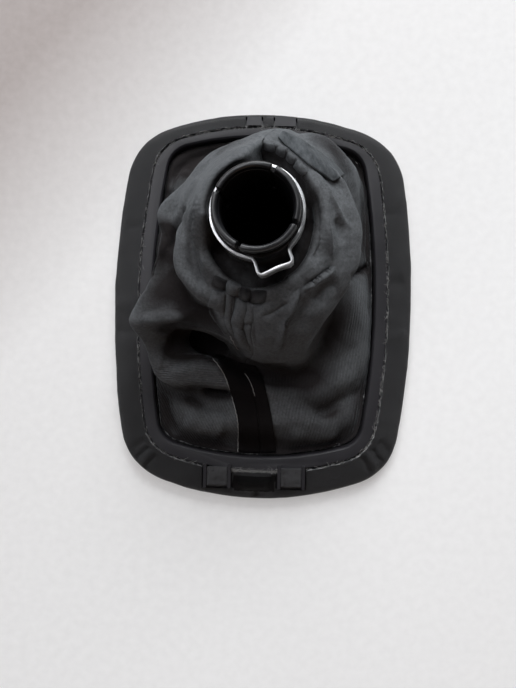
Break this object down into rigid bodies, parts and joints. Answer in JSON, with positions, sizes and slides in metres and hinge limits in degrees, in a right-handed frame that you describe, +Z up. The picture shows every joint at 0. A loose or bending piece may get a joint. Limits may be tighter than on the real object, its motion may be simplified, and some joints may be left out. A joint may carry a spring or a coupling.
{
  "type": "gear lever gaiter",
  "caption": "Gear lever gaiter lying inside out: covered bezel face down, boot standing up in folds round a slotted lever collar held by an ear clamp.",
  "frame": {"origin": "middle of the bezel's outline, on the plane the covered front face rests on", "axes": "+Z up out of the opening along the boot, +Y towards the rear seam, along the bezel's long side, +X to the right"},
  "size_m": [0.1154, 0.1498, 0.0709],
  "materials": {
    "moulding": "moulded black plastic, fine grain",
    "skin": "black leatherette with a dark grey textile backing",
    "collar": "glossy black plastic",
    "clamp": "bright stainless band"
  },
  "bodies": {
    "root": {"bezel_frame": "moulding", "left_panel": "skin", "right_panel": "skin", "collar": "collar", "ear_clamp": "clamp"}
  },
  "joints": []
}
